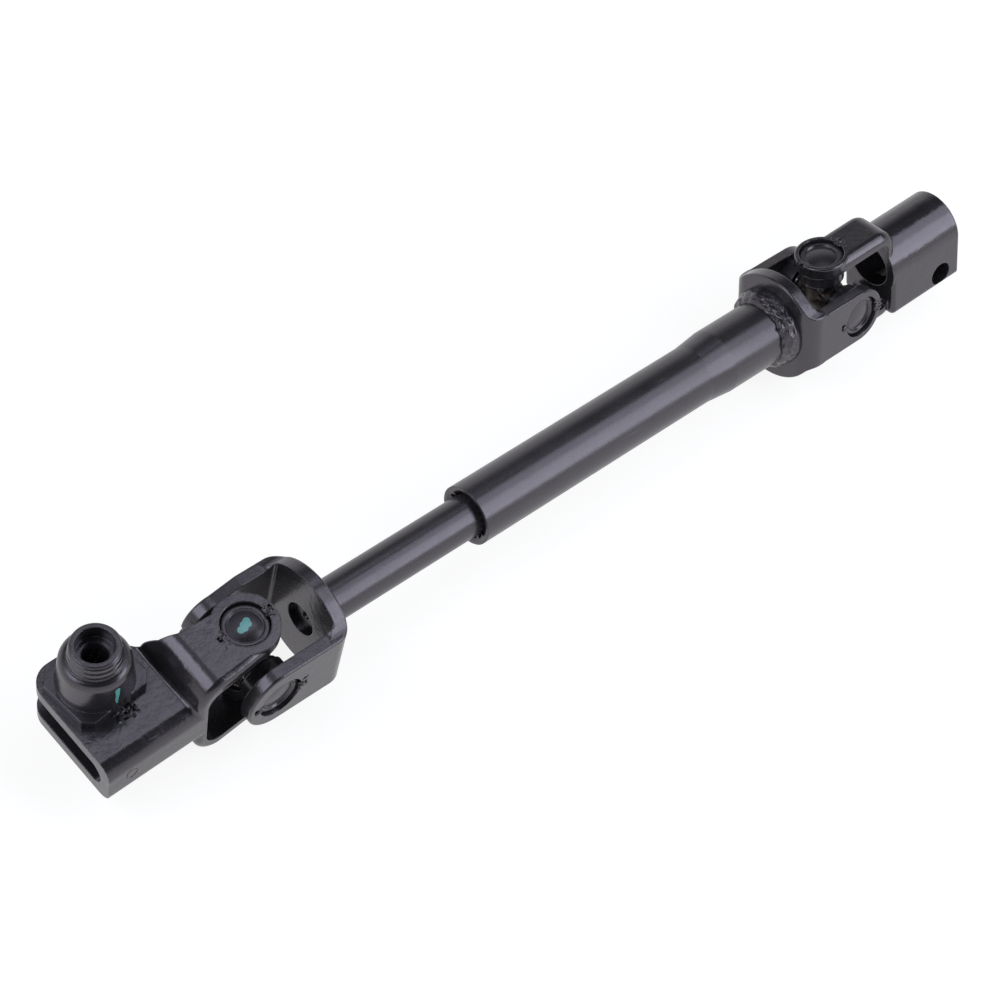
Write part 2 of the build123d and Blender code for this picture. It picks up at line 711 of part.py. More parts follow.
def main():
    shaft_fork = strap_fork(
        SHAFT_FORK_HALF_WIDTH,
        SHAFT_FORK_NEAR_TIP,
        SHAFT_FORK_FAR_TIP,
        SHAFT_FORK_REACH,
        SHAFT_FORK_DISC,
    )
    shaft_fork -= bar_x(SHAFT_FORK_HOLE, 0, SHAFT_FORK_REACH + 2 * BASE_WALL)
    tube_fork = Rot(0, 0, 180) * strap_fork(
        TUBE_FORK_HALF_WIDTH,
        TUBE_FORK_FAR_TIP,
        TUBE_FORK_NEAR_TIP,
        TUBE_FORK_REACH,
        TUBE_FORK_DISC,
    )
    fork_face = SHAFT_FORK_REACH + BASE_WALL
    tube_end = JOINT_SPACING - TUBE_FORK_REACH - BASE_WALL
    tube_weld = weld_bead(tube_end, NECK_RADIUS, TUBE_WELD_AXIAL, TUBE_WELD_RADIAL)
    shaft_weld = weld_bead(0, SHAFT_RADIUS, SHAFT_WELD_AXIAL, SHAFT_WELD_RADIAL)
    here = Pos(0, 0, 0)
    save("clamp_yoke", LOWER_YOKE_AT, clamp_yoke())
    save("clamp_nut", LOWER_YOKE_AT, clamp_nut())
    save("shaft_fork", here, shaft_fork)
    save("inner_shaft", here, inner_shaft())
    save("shaft_weld", Pos(fork_face, 0, 0) * Rot(0, 180, 0), shaft_weld)
    save("outer_tube", here, outer_tube())
    save("tube_weld", here, tube_weld)
    save("tube_fork", TUBE_FORK_AT, tube_fork)
    save("upper_yoke", UPPER_YOKE_AT, upper_yoke())
    save_joint("lower", LOWER_YOKE_AT, here, LOWER_YOKE_AT)
    save_joint("upper", UPPER_CROSS_AT, TUBE_FORK_AT, UPPER_YOKE_AT)


main()
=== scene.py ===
# %% [markdown]
# Dressing a telescopic steering shaft
#
# The solids of the shaft come in already made, in metres and in place.
# This file gives them their painted finish, adds the rough welds, the punched
# burrs and the threads, and lights the whole as on a photographer's table.

# %% Load the solids
import bmesh
import bpy
import json
import math
import numpy as np
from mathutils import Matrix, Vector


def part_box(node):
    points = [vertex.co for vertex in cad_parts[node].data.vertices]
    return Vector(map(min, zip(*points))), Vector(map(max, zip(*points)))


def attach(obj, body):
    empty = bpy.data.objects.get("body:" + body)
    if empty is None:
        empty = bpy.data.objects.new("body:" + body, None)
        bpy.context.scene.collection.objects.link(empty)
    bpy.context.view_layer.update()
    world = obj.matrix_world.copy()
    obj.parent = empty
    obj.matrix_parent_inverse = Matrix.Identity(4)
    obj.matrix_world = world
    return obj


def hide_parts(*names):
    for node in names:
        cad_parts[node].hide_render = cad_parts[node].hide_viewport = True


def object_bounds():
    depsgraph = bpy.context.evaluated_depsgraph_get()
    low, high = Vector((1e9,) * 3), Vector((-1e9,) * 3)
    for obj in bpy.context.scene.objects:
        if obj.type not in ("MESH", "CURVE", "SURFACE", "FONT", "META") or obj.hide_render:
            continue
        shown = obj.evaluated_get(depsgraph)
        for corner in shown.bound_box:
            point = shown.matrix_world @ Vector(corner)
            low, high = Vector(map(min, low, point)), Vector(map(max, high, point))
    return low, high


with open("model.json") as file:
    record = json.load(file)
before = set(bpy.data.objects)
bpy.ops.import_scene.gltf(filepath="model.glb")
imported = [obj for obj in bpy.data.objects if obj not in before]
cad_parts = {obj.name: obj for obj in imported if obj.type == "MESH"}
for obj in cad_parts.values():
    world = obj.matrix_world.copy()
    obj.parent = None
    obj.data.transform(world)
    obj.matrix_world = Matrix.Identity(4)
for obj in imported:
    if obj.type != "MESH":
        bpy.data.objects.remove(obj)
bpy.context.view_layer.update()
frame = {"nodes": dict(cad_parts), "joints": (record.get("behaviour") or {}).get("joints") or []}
nodes = frame["nodes"]
joints = {joint["name"]: joint for joint in frame["joints"]}
print("solids:", len(nodes), "joints:", list(joints))

# %% [markdown]
# Where the two universal joints are
#
# Each universal joint has a centre, one trunnion axis that lies nearly flat and
# one that stands up. The joints of the mechanism already hold those axes, so the
# small pieces round the bearing cups are placed from them.

# %% Axes of the two crosses


def unit(vector):
    """A vector divided by its own length."""
    vector = np.array(vector, float)
    return vector / np.linalg.norm(vector)


LOWER_CENTRE = np.array(joints["lower_pitch"]["pos_m"])
UPPER_CENTRE = np.array(joints["upper_pitch"]["pos_m"])
LOWER_SIDE = unit(joints["lower_pitch"]["axis"])
LOWER_UP = unit(joints["lower_turn"]["axis"])
UPPER_SIDE = unit(joints["upper_pitch"]["axis"])
UPPER_UP = unit(joints["upper_turn"]["axis"])
LOWER_FRONT = np.cross(LOWER_SIDE, LOWER_UP)
MM = 0.001


def on_clamp(x, y, z):
    """A place on the lower yoke, in mm from the joint's centre."""
    return LOWER_CENTRE + MM * (x * LOWER_FRONT + y * LOWER_SIDE + z * LOWER_UP)


print("joint spacing in mm:", round((UPPER_CENTRE - LOWER_CENTRE)[0] / MM, 1))

# %% [markdown]
# Shader arithmetic
#
# A finish is a set of nodes. Writing the nodes one by one hides the idea, so a
# small class stands for one output socket, and plus, minus and times on it add
# the Math nodes. A second class holds the material and makes any other node.

# %% A socket that can be added and multiplied


class Value:
    """A number that changes over a surface, held by an output socket."""

    def __init__(self, finish, socket):
        self.finish = finish
        self.socket = socket

    def math(self, operation, *others, clamp=False):
        settings = {"operation": operation, "use_clamp": clamp}
        inputs = dict(enumerate((self,) + others))
        return self.finish.node("ShaderNodeMath", settings, inputs)

    def __add__(self, other):
        return self.math("ADD", other)

    __radd__ = __add__

    def __mul__(self, other):
        return self.math("MULTIPLY", other)

    __rmul__ = __mul__

    def __sub__(self, other):
        return self.math("SUBTRACT", other)

    def __rsub__(self, other):
        return self * -1 + other

    def clipped(self):
        """The value kept between 0 and 1."""
        return self.math("ADD", 0.0, clamp=True)


class Finish:
    """A material being made, with one way to add any node to it."""

    def __init__(self, name):
        self.material = bpy.data.materials.new(name)
        self.material.use_nodes = True
        self.tree = self.material.node_tree
        self.skin = self.tree.nodes["Principled BSDF"]
        coordinates = self.tree.nodes.new("ShaderNodeTexCoord")
        self.place = Value(self, coordinates.outputs["Object"])

    def node(self, kind, settings=None, inputs=None, output=0):
        """Adds a node: its settings first, then its inputs. Gives one output."""
        made = self.tree.nodes.new(kind)
        for name, value in (settings or {}).items():
            setattr(made, name, value)
        for name, value in (inputs or {}).items():
            if isinstance(value, Value):
                self.tree.links.new(value.socket, made.inputs[name])
            else:
                made.inputs[name].default_value = value
        return Value(self, made.outputs[output])

    def stretched(self, x, y, z):
        """The place on the object, scaled differently along the three axes."""
        inputs = {"Vector": self.place, "Scale": (x, y, z)}
        return self.node("ShaderNodeMapping", {}, inputs, "Vector")

    def noise(self, size, detail=3.0, roughness=0.55, place=None):
        """Soft noise whose blotches are about size millimetres across."""
        inputs = {
            "Vector": place or self.place,
            "Scale": 1 / (size * MM),
            "Detail": detail,
            "Roughness": roughness,
        }
        return self.node("ShaderNodeTexNoise", {}, inputs, "Fac")

    def step(self, value, low, high):
        """0 where the value is under low, 1 over high, smooth in between."""
        settings = {"interpolation_type": "SMOOTHSTEP"}
        inputs = {"Value": value, "From Min": low, "From Max": high}
        return self.node("ShaderNodeMapRange", settings, inputs, "Result")

    def mix(self, share, first, second):
        """A colour between two, by share."""
        inputs = {0: share, 6: first, 7: second}
        return self.node("ShaderNodeMix", {"data_type": "RGBA"}, inputs, 2)

    def near(self, point, radius):
        """1 close to a point of the object, falling to 0 at the radius."""
        settings = {"operation": "DISTANCE"}
        inputs = {0: self.place, 1: tuple(point)}
        distance = self.node("ShaderNodeVectorMath", settings, inputs, "Value")
        return 1 - self.step(distance, radius * 0.6, radius)

    def bumped(self, height, depth, normal=None):
        """A normal tilted by a height that goes up to depth millimetres."""
        inputs = {"Height": height, "Distance": depth * MM, "Strength": 1.0}
        if normal is not None:
            inputs["Normal"] = normal
        return self.node("ShaderNodeBump", {}, inputs, "Normal")

    def rounded(self, radius):
        """The normal with sharp edges rounded by a radius in millimetres."""
        settings = {"samples": 6}
        return self.node("ShaderNodeBevel", settings, {"Radius": radius * MM}, "Normal")

    def set(self, **skin):
        """Sets or links sockets of the Principled shader, names with _ for a space."""
        for name, value in skin.items():
            socket = self.skin.inputs[name.replace("_", " ")]
            if isinstance(value, Value):
                self.tree.links.new(value.socket, socket)
            else:
                socket.default_value = value


print("shader helpers ready")

# %% [markdown]
# The black paint
#
# The shaft is dipped in black paint and stoved. The film is thin, so it follows
# the forged or drawn metal below, shines softly, and thins out on sharp edges,
# where small grey chips show. One function makes it. The drawn tube, the pressed
# forks, the forged yokes and the welds only differ in how lumpy the metal is.

# %% The paint's colours and its grain, sizes in mm
PAINT_BLACK = (0.0140, 0.0133, 0.0158, 1)
PAINT_WORN = (0.027, 0.026, 0.030, 1)
BARE_GREY = (0.20, 0.195, 0.20, 1)
PAINT_GLOSS = {"IOR": 1.8, "Specular_Tint": (0.98, 0.90, 1.0, 1)}
EDGE_ROUNDING = 0.55
CHIP_ROUNDING = 0.5
CHIP_SIZE = 2.2
PEEL_SIZE = 1.1
PEEL_DEPTH = 0.012
CLOUD_SIZE = 14.0
DUST_SIZE = 0.5
SCRATCH_WIDTH = 0.45
SCRATCH_STRETCH = 0.02


def edge_wear(finish, chips):
    """A mask of chipped edges: where rounding turns the normal, broken by noise."""
    rounded = finish.rounded(CHIP_ROUNDING)
    plain = finish.node("ShaderNodeNewGeometry", output="Normal")
    settings = {"operation": "DOT_PRODUCT"}
    alike = finish.node("ShaderNodeVectorMath", settings, {0: rounded, 1: plain}, "Value")
    turned = finish.step(1 - alike, 0.02, 0.12)
    broken = finish.step(finish.noise(CHIP_SIZE, 4.0, 0.7), 0.60 - chips, 0.66 - chips)
    return turned * broken


def black_paint(name, lump_size, lump_depth, chips=0.0, streaks=0.0, rough=0.27):
    """Semi-gloss black over metal with lumps of a given size and depth in mm."""
    finish = Finish(name)
    peel = finish.noise(PEEL_SIZE, 2.0, 0.5)
    lumps = finish.noise(lump_size, 4.0, 0.6)
    cloud = finish.noise(CLOUD_SIZE, 3.0, 0.6)
    dust = finish.step(finish.noise(DUST_SIZE, 2.0, 0.6), 0.70, 0.76)
    drawn = finish.stretched(SCRATCH_STRETCH, 1, 1)
    lines = finish.noise(SCRATCH_WIDTH, 2.0, 0.5, drawn)
    scratch = finish.step(lines, 0.69, 0.74) * finish.step(cloud, 0.52, 0.66)
    chipped = edge_wear(finish, chips)
    tone = finish.mix(cloud, PAINT_BLACK, PAINT_WORN)
    tone = finish.mix((scratch * 0.5 * streaks).clipped(), tone, BARE_GREY)
    tone = finish.mix((dust * 0.12).clipped(), tone, BARE_GREY)
    tone = finish.mix((chipped * 0.75).clipped(), tone, BARE_GREY)
    gloss = cloud * 0.12 + lumps * 0.06 + (rough - 0.09) + dust * 0.15 + scratch * 0.1
    normal = finish.bumped(lumps, lump_depth, finish.rounded(EDGE_ROUNDING))
    normal = finish.bumped(peel, PEEL_DEPTH, normal)
    finish.set(Base_Color=tone, Roughness=gloss, Normal=normal, **PAINT_GLOSS)
    return finish


print("paint recipe ready")

# %% Black paint on four kinds of metal
tube_paint = black_paint("tube_paint", 3.0, 0.012, streaks=1.0)
fork_paint = black_paint("fork_paint", 3.4, 0.10, chips=0.07, streaks=0.8, rough=0.22)
yoke_paint = black_paint("yoke_paint", 3.8, 0.13, chips=0.10, streaks=1.0, rough=0.20)
weld_paint = black_paint("weld_paint", 2.2, 0.08, chips=0.04, rough=0.24)
print("paints:", [m.name for m in bpy.data.materials if m.name.endswith("paint")])

# %% Near-black painted shade on the torn burrs and pit lumps, where little light gets in
SHADE_BLACK = (0.002, 0.002, 0.002, 1)
SHADE_GREY = (0.008, 0.008, 0.009, 1)
pit_shade_paint = black_paint("pit_shade_paint", 1.4, 0.22, rough=0.20)
# The colour of these lumps is painted shade: far darker than the paint, so the pits look deep
shade_tone = pit_shade_paint.mix(pit_shade_paint.noise(1.5), SHADE_BLACK, SHADE_GREY)
pit_shade_paint.set(Base_Color=shade_tone)
print("torn paint ready")

# %% [markdown]
# Check marks in ink
#
# A dab of blue-green ink on one bearing cup and a streak of it on the nut show
# that they were checked. Each is a soft spot round a point, made ragged by noise,
# so nothing has to be drawn on an image.

# %% Paint with a dab of ink
INK = (0.13, 0.44, 0.42, 1)


def dabbed(finish, base, points, radius, ragged):
    """Lays ink over a painted finish, near the given points."""
    spot = finish.near(points[0], radius)
    for point in points[1:]:
        spot = spot.math("MAXIMUM", finish.near(point, radius))
    torn = finish.noise(0.9, 4.0, 0.65)
    mask = finish.step(spot + (torn - 0.5) * ragged, 0.45, 0.56)
    return finish.mix((mask * 0.9).clipped(), base, INK)


def colour_of(finish):
    """The value now linked to the Base Color socket."""
    return Value(finish, finish.skin.inputs["Base Color"].links[0].from_socket)


nut_paint = black_paint("nut_paint", 2.4, 0.05, chips=0.02, rough=0.22)
STREAK_SIDE = 4.1
STREAK_FRONT_AND_HEIGHT = (
    (-45.9, 15.6),
    (-45.8, 16.7),
    (-45.6, 17.8),
    (-45.4, 19.0),
    (-45.3, 20.1),
    (-45.2, 21.2),
)
streak = [on_clamp(x, STREAK_SIDE, z) for x, z in STREAK_FRONT_AND_HEIGHT]
streaked = dabbed(nut_paint, colour_of(nut_paint), streak, 1.15 * MM, 0.9)
nut_paint.set(Base_Color=streaked)
print("marked finish:", nut_paint.material.name)

# %% A cup with a dab of ink
cup_paint = black_paint("cup_paint", 2.0, 0.008, rough=0.24)
inked_cup = black_paint("inked_cup_paint", 2.0, 0.008, rough=0.24)
DAB_ON_CUP = (
    (-0.3252, 0.0010, 0.0117),
    (-0.3241, 0.0008, 0.0118),
    (-0.3234, 0.0020, 0.0119),
    (-0.3223, 0.0014, 0.0119),
    (-0.3219, 0.0026, 0.0119),
)
inked = dabbed(inked_cup, colour_of(inked_cup), DAB_ON_CUP, 1.6 * MM, 1.0)
inked_cup.set(Base_Color=inked)
print("marked finish:", inked_cup.material.name)

# %% [markdown]
# Steel and rubber inside the joints
#
# The crosses stay bare, and oil has turned them brownish. The needles are ground
# bright. The seals are smooth wet-looking rubber. Each is one shader whose tone
# and roughness follow soft noise, because a plain tone would look like plastic.

# %% Bare steel and seal rubber
HUB_BROWN = (0.10, 0.082, 0.072, 1)
NEEDLE_GREY = (0.42, 0.42, 0.43, 1)
RUBBER_BLACK = (0.006, 0.006, 0.007, 1)
RUBBER_GREY = (0.014, 0.014, 0.017, 1)


def bare_steel(name, colour, rough):
    """Machined steel with faint blotches of oil and rust."""
    finish = Finish(name)
    blotch = finish.noise(3.0, 4.0, 0.65)
    fine = finish.noise(0.6, 2.0, 0.5)
    dark = tuple(0.35 * part for part in colour[:3]) + (1,)
    tone = finish.mix(finish.step(blotch, 0.35, 0.65), dark, colour)
    finish.set(Base_Color=tone, Roughness=fine * 0.2 + rough, Metallic=0.7)
    finish.set(Normal=finish.bumped(fine, 0.01, finish.rounded(0.3)))
    return finish


def seal_rubber(name):
    """Glossy black rubber with soft ripples of grease."""
    finish = Finish(name)
    ripple = finish.noise(2.5, 2.0, 0.5)
    tone = finish.mix(ripple, RUBBER_BLACK, RUBBER_GREY)
    finish.set(Base_Color=tone, Roughness=ripple * 0.1 + 0.02, IOR=1.9)
    finish.set(Normal=finish.bumped(ripple, 0.5))
    return finish


hub_steel = bare_steel("hub_steel", HUB_BROWN, 0.32)
needle_steel = bare_steel("needle_steel", NEEDLE_GREY, 0.18)
rubber = seal_rubber("seal_rubber")
print("steel and rubber ready")

# %% [markdown]
# Giving each solid its finish
#
# The name of a solid says what it is, so its finish is found from the name.

# %% Finishes by name
FINISH_OF = {
    "outer_tube": tube_paint,
    "inner_shaft": tube_paint,
    "tube_fork": fork_paint,
    "shaft_fork": fork_paint,
    "clamp_yoke": yoke_paint,
    "upper_yoke": yoke_paint,
    "clamp_nut": nut_paint,
    "tube_weld": weld_paint,
    "shaft_weld": weld_paint,
    "lower_cup_top": inked_cup,
}
FINISH_BY_KIND = {
    "cup": cup_paint,
    "needles": needle_steel,
    "seal": rubber,
    "cross": hub_steel,
}


def finish_for(name):
    """The finish of a solid: its own, or that of its kind."""
    if name in FINISH_OF:
        return FINISH_OF[name]
    kinds = [kind for kind in FINISH_BY_KIND if "_" + kind in name]
    return FINISH_BY_KIND[kinds[0]]


def wear(thing, finish):
    """Puts one finish on every material slot of an object."""
    thing.data.materials.clear()
    thing.data.materials.append(finish.material)


for name, thing in nodes.items():
    wear(thing, finish_for(name))
print("dressed", len(nodes), "solids")

# %% [markdown]
# Surfaces from grids of points
#
# Every added piece is a grid: one direction runs round the piece, the other
# along it. A helper turns the grid into quads and joins the last row to the first
# where the surface closes. At a ball's pole a whole row of points lies in one
# place, so those points are joined, which leaves a fan of triangles there.

# %% From grids to meshes


def grid_faces(rows, columns, wrap_rows, wrap_columns):
    """Corner numbers of the quads of a grid, turned to face outwards."""
    row = np.arange(rows if wrap_rows else rows - 1)[:, None]
    column = np.arange(columns if wrap_columns else columns - 1)[None, :]
    next_row = (row + 1) % rows
    next_column = (column + 1) % columns
    corners = (
        row * columns + column,
        row * columns + next_column,
        next_row * columns + next_column,
        next_row * columns + column,
    )
    return np.stack(np.broadcast_arrays(*corners), -1).reshape(-1, 4)


def signed_volume(points, faces):
    """Six times the volume inside quads: positive when they face outwards."""
    a, b, c, d = (points[faces[:, corner]] for corner in range(4))
    return (np.cross(a, b) * c).sum() + (np.cross(a, c) * d).sum()


def join_poles(mesh):
    """Joins points less than a thousandth of a millimetre apart into one."""
    shell = bmesh.new()
    shell.from_mesh(mesh)
    bmesh.ops.remove_doubles(shell, verts=shell.verts, dist=0.001 * MM)
    shell.to_mesh(mesh)
    shell.free()


def add_piece(name, shells, body, finish):
    """Makes one object of closed shells, each given by its points and quads."""
    all_points = []
    all_faces = []
    start = 0
    for points, faces in shells:
        points = points.reshape(-1, 3)
        if signed_volume(points - points.mean(0), faces) < 0:
            faces = faces[:, ::-1]
        all_points.append(points)
        all_faces.append(faces + start)
        start += len(points)
    mesh = bpy.data.meshes.new(name)
    faces = np.concatenate(all_faces)
    mesh.from_pydata(np.concatenate(all_points).tolist(), [], faces.tolist())
    join_poles(mesh)
    mesh.validate()
    mesh.polygons.foreach_set("use_smooth", np.ones(len(mesh.polygons), bool))
    mesh.update()
    thing = bpy.data.objects.new(name, mesh)
    bpy.context.scene.collection.objects.link(thing)
    wear(thing, finish)
    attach(thing, body)
    print(name, "has", len(mesh.vertices), "points and", len(mesh.polygons), "faces")
    return thing


def waves(u, v, seed, count, fastest, slope=1.0):
    """A sum of random waves on two angles, so it closes on itself. About -1 to 1."""
    draw = np.random.default_rng(seed)
    across = draw.integers(1, fastest, count)
    along = draw.integers(-fastest // 3, fastest // 3 + 1, count)
    shift = draw.uniform(0, 2 * math.pi, count)
    share = 1 / across**slope
    total = 0
    for one in zip(across, along, shift, share):
        total = total + one[3] * np.cos(one[0] * u + one[1] * v + one[2])
    return total / np.sqrt((share**2).sum())


# %% [markdown]
# The weld beads
#
# The forks are welded to the tube and to the shaft by hand. A bead is laid in
# overlapping puddles, so it is lumpy along its length, with a ragged foot. It is
# a ring whose section is a bulging triangle in the corner between bar and disc.
# The section is swept round the bar and pushed in and out by waves.

# %% Lumpy beads in the corners
PUDDLES = 18
BEAD_SINK = 0.5 * MM


def bead_ring(disc_x, outward, bar_radius, length, rise, seed, centre, crumbly):
    """A bead round the X axis against a disc.

    The angle u goes round the bar, and v round the section. The section is the
    corner point plus length times cos^1.25 along the bar and rise times
    sin^1.15 up the disc for the outer quarter, and sinks 0.5 mm into both for
    the rest. The outer quarter is pushed along its own normal by puddle and
    noise waves. Fine crumbs are strongest at the angle u = crumbly and weak
    opposite to it.
    """
    u = np.linspace(0, 2 * math.pi, 260, endpoint=False)[:, None]
    quarter = np.linspace(0, math.pi / 2, 30)[None, :]
    puddle = np.abs(np.sin(PUDDLES / 2 * u + 1.7 * np.sin(2 * u)))
    crumbs = 0.08 + 0.92 * (0.5 + 0.5 * np.cos(u - crumbly)) ** 3
    ragged = waves(u, 0 * u, seed + 1, 24, 22, 0.6)
    along = (length + 0.45 * MM * ragged) * np.cos(quarter) ** 1.25
    uneven = waves(u, 0 * u, seed + 2, 24, 18, 0.6)
    up = (rise + 0.25 * MM * uneven) * np.sin(quarter) ** 1.15
    lump = waves(u, 2 * quarter, seed, 60, 26, 0.5)
    speck = waves(u, 2.5 * quarter, seed + 3, 90, 90, 0.0)
    fade = np.sin(2 * quarter)
    push = fade * MM * (0.26 * puddle + 0.22 * ragged + 0.10 * lump)
    push = push + fade * MM * crumbs * (0.22 * lump + 0.10 * speck)
    along = along + push * np.cos(quarter)
    up = up + push * np.sin(quarter)
    x = disc_x - outward * along
    radius = bar_radius + up
    in_disc = outward * BEAD_SINK
    x = np.concatenate([x, x[:, -1:] + in_disc, x[:, :1]], 1)
    radius = np.concatenate([radius, radius[:, -1:], radius[:, :1] - BEAD_SINK], 1)
    x = np.concatenate([x, disc_x + in_disc + 0 * u], 1)
    radius = np.concatenate([radius, bar_radius - BEAD_SINK + 0 * u], 1)
    x[:, [-1, -2]] = x[:, [-2, -1]]
    radius[:, [-1, -2]] = radius[:, [-2, -1]]
    y = centre[1] + radius * np.cos(u)
    z = centre[2] + radius * np.sin(u)
    points = np.stack([x, y, z], -1)
    return points, grid_faces(*x.shape, True, True)


print("weld recipe ready")

# %% The bead between tube and fork
NECK_RADIUS = 11.9 * MM
NECK_BEAD = (6.2 * MM, 3.0 * MM)
tube_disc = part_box("tube_weld")[1].x
ring = bead_ring(
    tube_disc, 1, NECK_RADIUS, *NECK_BEAD, seed=11, centre=UPPER_CENTRE, crumbly=2.1
)
tube_bead = add_piece("tube_weld_bead", [ring], "tube", weld_paint)
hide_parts("tube_weld")

# %% The bead between shaft and fork
SHAFT_RADIUS = 7.4 * MM
SHAFT_BEAD = (3.0 * MM, 2.7 * MM)
shaft_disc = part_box("shaft_weld")[0].x
ring = bead_ring(
    shaft_disc, -1, SHAFT_RADIUS, *SHAFT_BEAD, seed=23, centre=LOWER_CENTRE, crumbly=1.6
)
shaft_bead = add_piece("shaft_weld_bead", [ring], "shaft", weld_paint)
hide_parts("shaft_weld")

# %% [markdown]
# Burrs of the punched stakes
#
# Each bearing cup is locked by a punch that crushes the edge of its bore. The
# solids have clean pits, and the real ones are torn. Small dented lumps in the
# pits and along the bore's edge make them ragged. A lump is a ball pushed about
# by waves and pressed flat along the cup's axis.

# %% Small torn lumps
EAR_FACE = 18.55
CUP_LIFT = 0.22


def lump(centre, normal, along, size, seed):
    """A dented ball: u goes round, v from pole to pole, then it is stretched.

    The radius is 1 plus about a quarter of a random wave sum. Sizes in mm are
    along the given direction, across it and along the normal.
    """
    u = np.linspace(0, 2 * math.pi, 14, endpoint=False)[:, None]
    v = np.linspace(0, math.pi, 9)[None, :]
    radius = 1 + 0.26 * np.sin(v) * waves(u, 3 * v, seed, 10, 5, 0.5)
    across = np.cross(normal, along)
    a = radius * np.sin(v) * np.cos(u) * size[0] * MM
    b = radius * np.sin(v) * np.sin(u) * size[1] * MM
    c = radius * np.cos(v) * size[2] * MM
    points = centre + a[..., None] * along + b[..., None] * across + c[..., None] * normal
    return points, grid_faces(*a.shape, True, False)


def cup_burrs(centre, normal, across, turns, seed, lift):
    """Lumps round a cup at the given angles in degrees from one direction.

    The lift is how far, in mm, their middles lie above the face of the ear.
    """
    draw = np.random.default_rng(seed)
    third = np.cross(normal, across)
    shells = []
    for number, turn in enumerate(turns):
        angle = math.radians(turn + draw.uniform(-7, 7))
        out = math.cos(angle) * across + math.sin(angle) * third
        reach = draw.uniform(7.9, 9.7) * MM
        place = centre + out * reach + normal * (EAR_FACE + lift) * MM
        size = draw.uniform((0.7, 0.30, 0.35), (1.6, 0.7, 0.60))
        shells.append(lump(place, normal, out, size, seed + number))
    return shells


print("burr recipe ready")

# %% Burrs at all eight cups
EAR_TURNS = (-19, -12, -7, -2, 3, 8, 15, 166, 172, 178, 184, 191)
HIDDEN = ("lower_cup_bottom", "upper_cup_bottom", "lower_cup_far", "upper_cup_far")
CUPS = {
    "lower_cup_top": (LOWER_CENTRE, LOWER_UP, LOWER_SIDE, "lower_yoke"),
    "lower_cup_bottom": (LOWER_CENTRE, -LOWER_UP, LOWER_SIDE, "lower_yoke"),
    "lower_cup_near": (LOWER_CENTRE, -LOWER_SIDE, LOWER_UP, "shaft"),
    "lower_cup_far": (LOWER_CENTRE, LOWER_SIDE, LOWER_UP, "shaft"),
    "upper_cup_top": (UPPER_CENTRE, UPPER_UP, UPPER_SIDE, "upper_yoke"),
    "upper_cup_bottom": (UPPER_CENTRE, -UPPER_UP, UPPER_SIDE, "upper_yoke"),
    "upper_cup_near": (UPPER_CENTRE, -UPPER_SIDE, UPPER_UP, "tube"),
    "upper_cup_far": (UPPER_CENTRE, UPPER_SIDE, UPPER_UP, "tube"),
}
# The burrs round the cups are coloured with the near-black painted shade of the pits
for seed, (cup, (centre, normal, side, body)) in enumerate(CUPS.items()):
    along = np.cross(side, normal)
    lift = 0.0 if cup in HIDDEN else CUP_LIFT
    shells = cup_burrs(centre, normal, along, EAR_TURNS, 40 + 10 * seed, lift)
    name = cup.replace("cup", "burrs")
    add_piece(name, shells, body, pit_shade_paint)

# %% [markdown]
# The thread in the nut
#
# The nut's hole is threaded, and the thread is seen from above. A thread is a
# tube whose inner wall moves in and out as it winds: the radius depends on the
# height minus the angle's share of the pitch, so one formula gives the helix.

# %% A threaded sleeve in the nut


def threaded_sleeve(foot, axis, side, hole, depth, pitch, length):
    """A tube with a helical inner wall: u goes round, v along the tube.

    The inner radius is the hole less half the thread depth, plus a rounded wave
    of the height over the pitch less the angle over a full turn. The outer
    radius is the hole plus 0.1 mm, so that the sleeve is set into the nut.
    """
    turns = int(length / pitch)
    u = np.linspace(0, 2 * math.pi, 64, endpoint=False)[None, :]
    height = np.linspace(0, length, 12 * turns)[:, None]
    phase = 2 * math.pi * height / pitch - u
    inner = hole - depth * (0.5 + 0.5 * np.cos(phase) + 0.12 * np.cos(3 * phase))
    outer = hole + 0.1 + 0 * inner
    radius = MM * np.concatenate([inner, outer[::-1]])
    rise = MM * np.concatenate([height, height[::-1]]) + 0 * radius
    across = np.cross(axis, side)
    points = foot + rise[..., None] * axis
    points = points + (radius * np.cos(u))[..., None] * side
    points = points + (radius * np.sin(u))[..., None] * across
    return points, grid_faces(*radius.shape, True, True)


NUT_FOOT = on_clamp(-45.0, 15.3, 9.2)
NUT_HOLE = 4.45
THREAD_DEPTH = 0.5
THREAD_PITCH = 1.25
THREAD_LENGTH = 17.4
thread = (NUT_HOLE, THREAD_DEPTH, THREAD_PITCH, THREAD_LENGTH)
sleeve = threaded_sleeve(NUT_FOOT, LOWER_UP, LOWER_SIDE, *thread)
add_piece("nut_thread_wall", [sleeve], "lower_yoke", nut_paint)

# %% [markdown]
# Torn stakes beside the nut
#
# The nut's flange is staked to the cheek at two corners. A punch has pushed a
# ragged roll of metal against the flange and left a pit behind it.

# %% Lumps in the two pits
PIT_HEIGHT = 9.1
PIT_SCATTER = 0.35


def torn_pit(middle, spread, count, seed):
    """Dented lumps scattered over a pit, about a middle given in mm."""
    draw = np.random.default_rng(seed)
    shells = []
    for number in range(count):
        x, y = draw.uniform(-1, 1, 2) * spread
        size = draw.uniform((0.6, 0.4, 0.35), (2.0, 1.1, 0.75))
        turn = draw.uniform(0, math.pi)
        along = math.cos(turn) * LOWER_FRONT + math.sin(turn) * LOWER_SIDE
        height = PIT_HEIGHT + PIT_SCATTER * draw.uniform(-1, 1)
        place = on_clamp(middle[0] + x, middle[1] + y, height)
        shells.append(lump(place, LOWER_UP, along, size, seed + number))
    return shells


far_pit = torn_pit((-54.9, 22.8), spread=2.6, count=14, seed=301)
near_pit = torn_pit((-43.4, 2.6), spread=3.4, count=24, seed=351)
pits = far_pit + near_pit
# The lumps in the pits are coloured with the near-black painted shade
add_piece("clamp_stake_burrs", pits, "lower_yoke", pit_shade_paint)

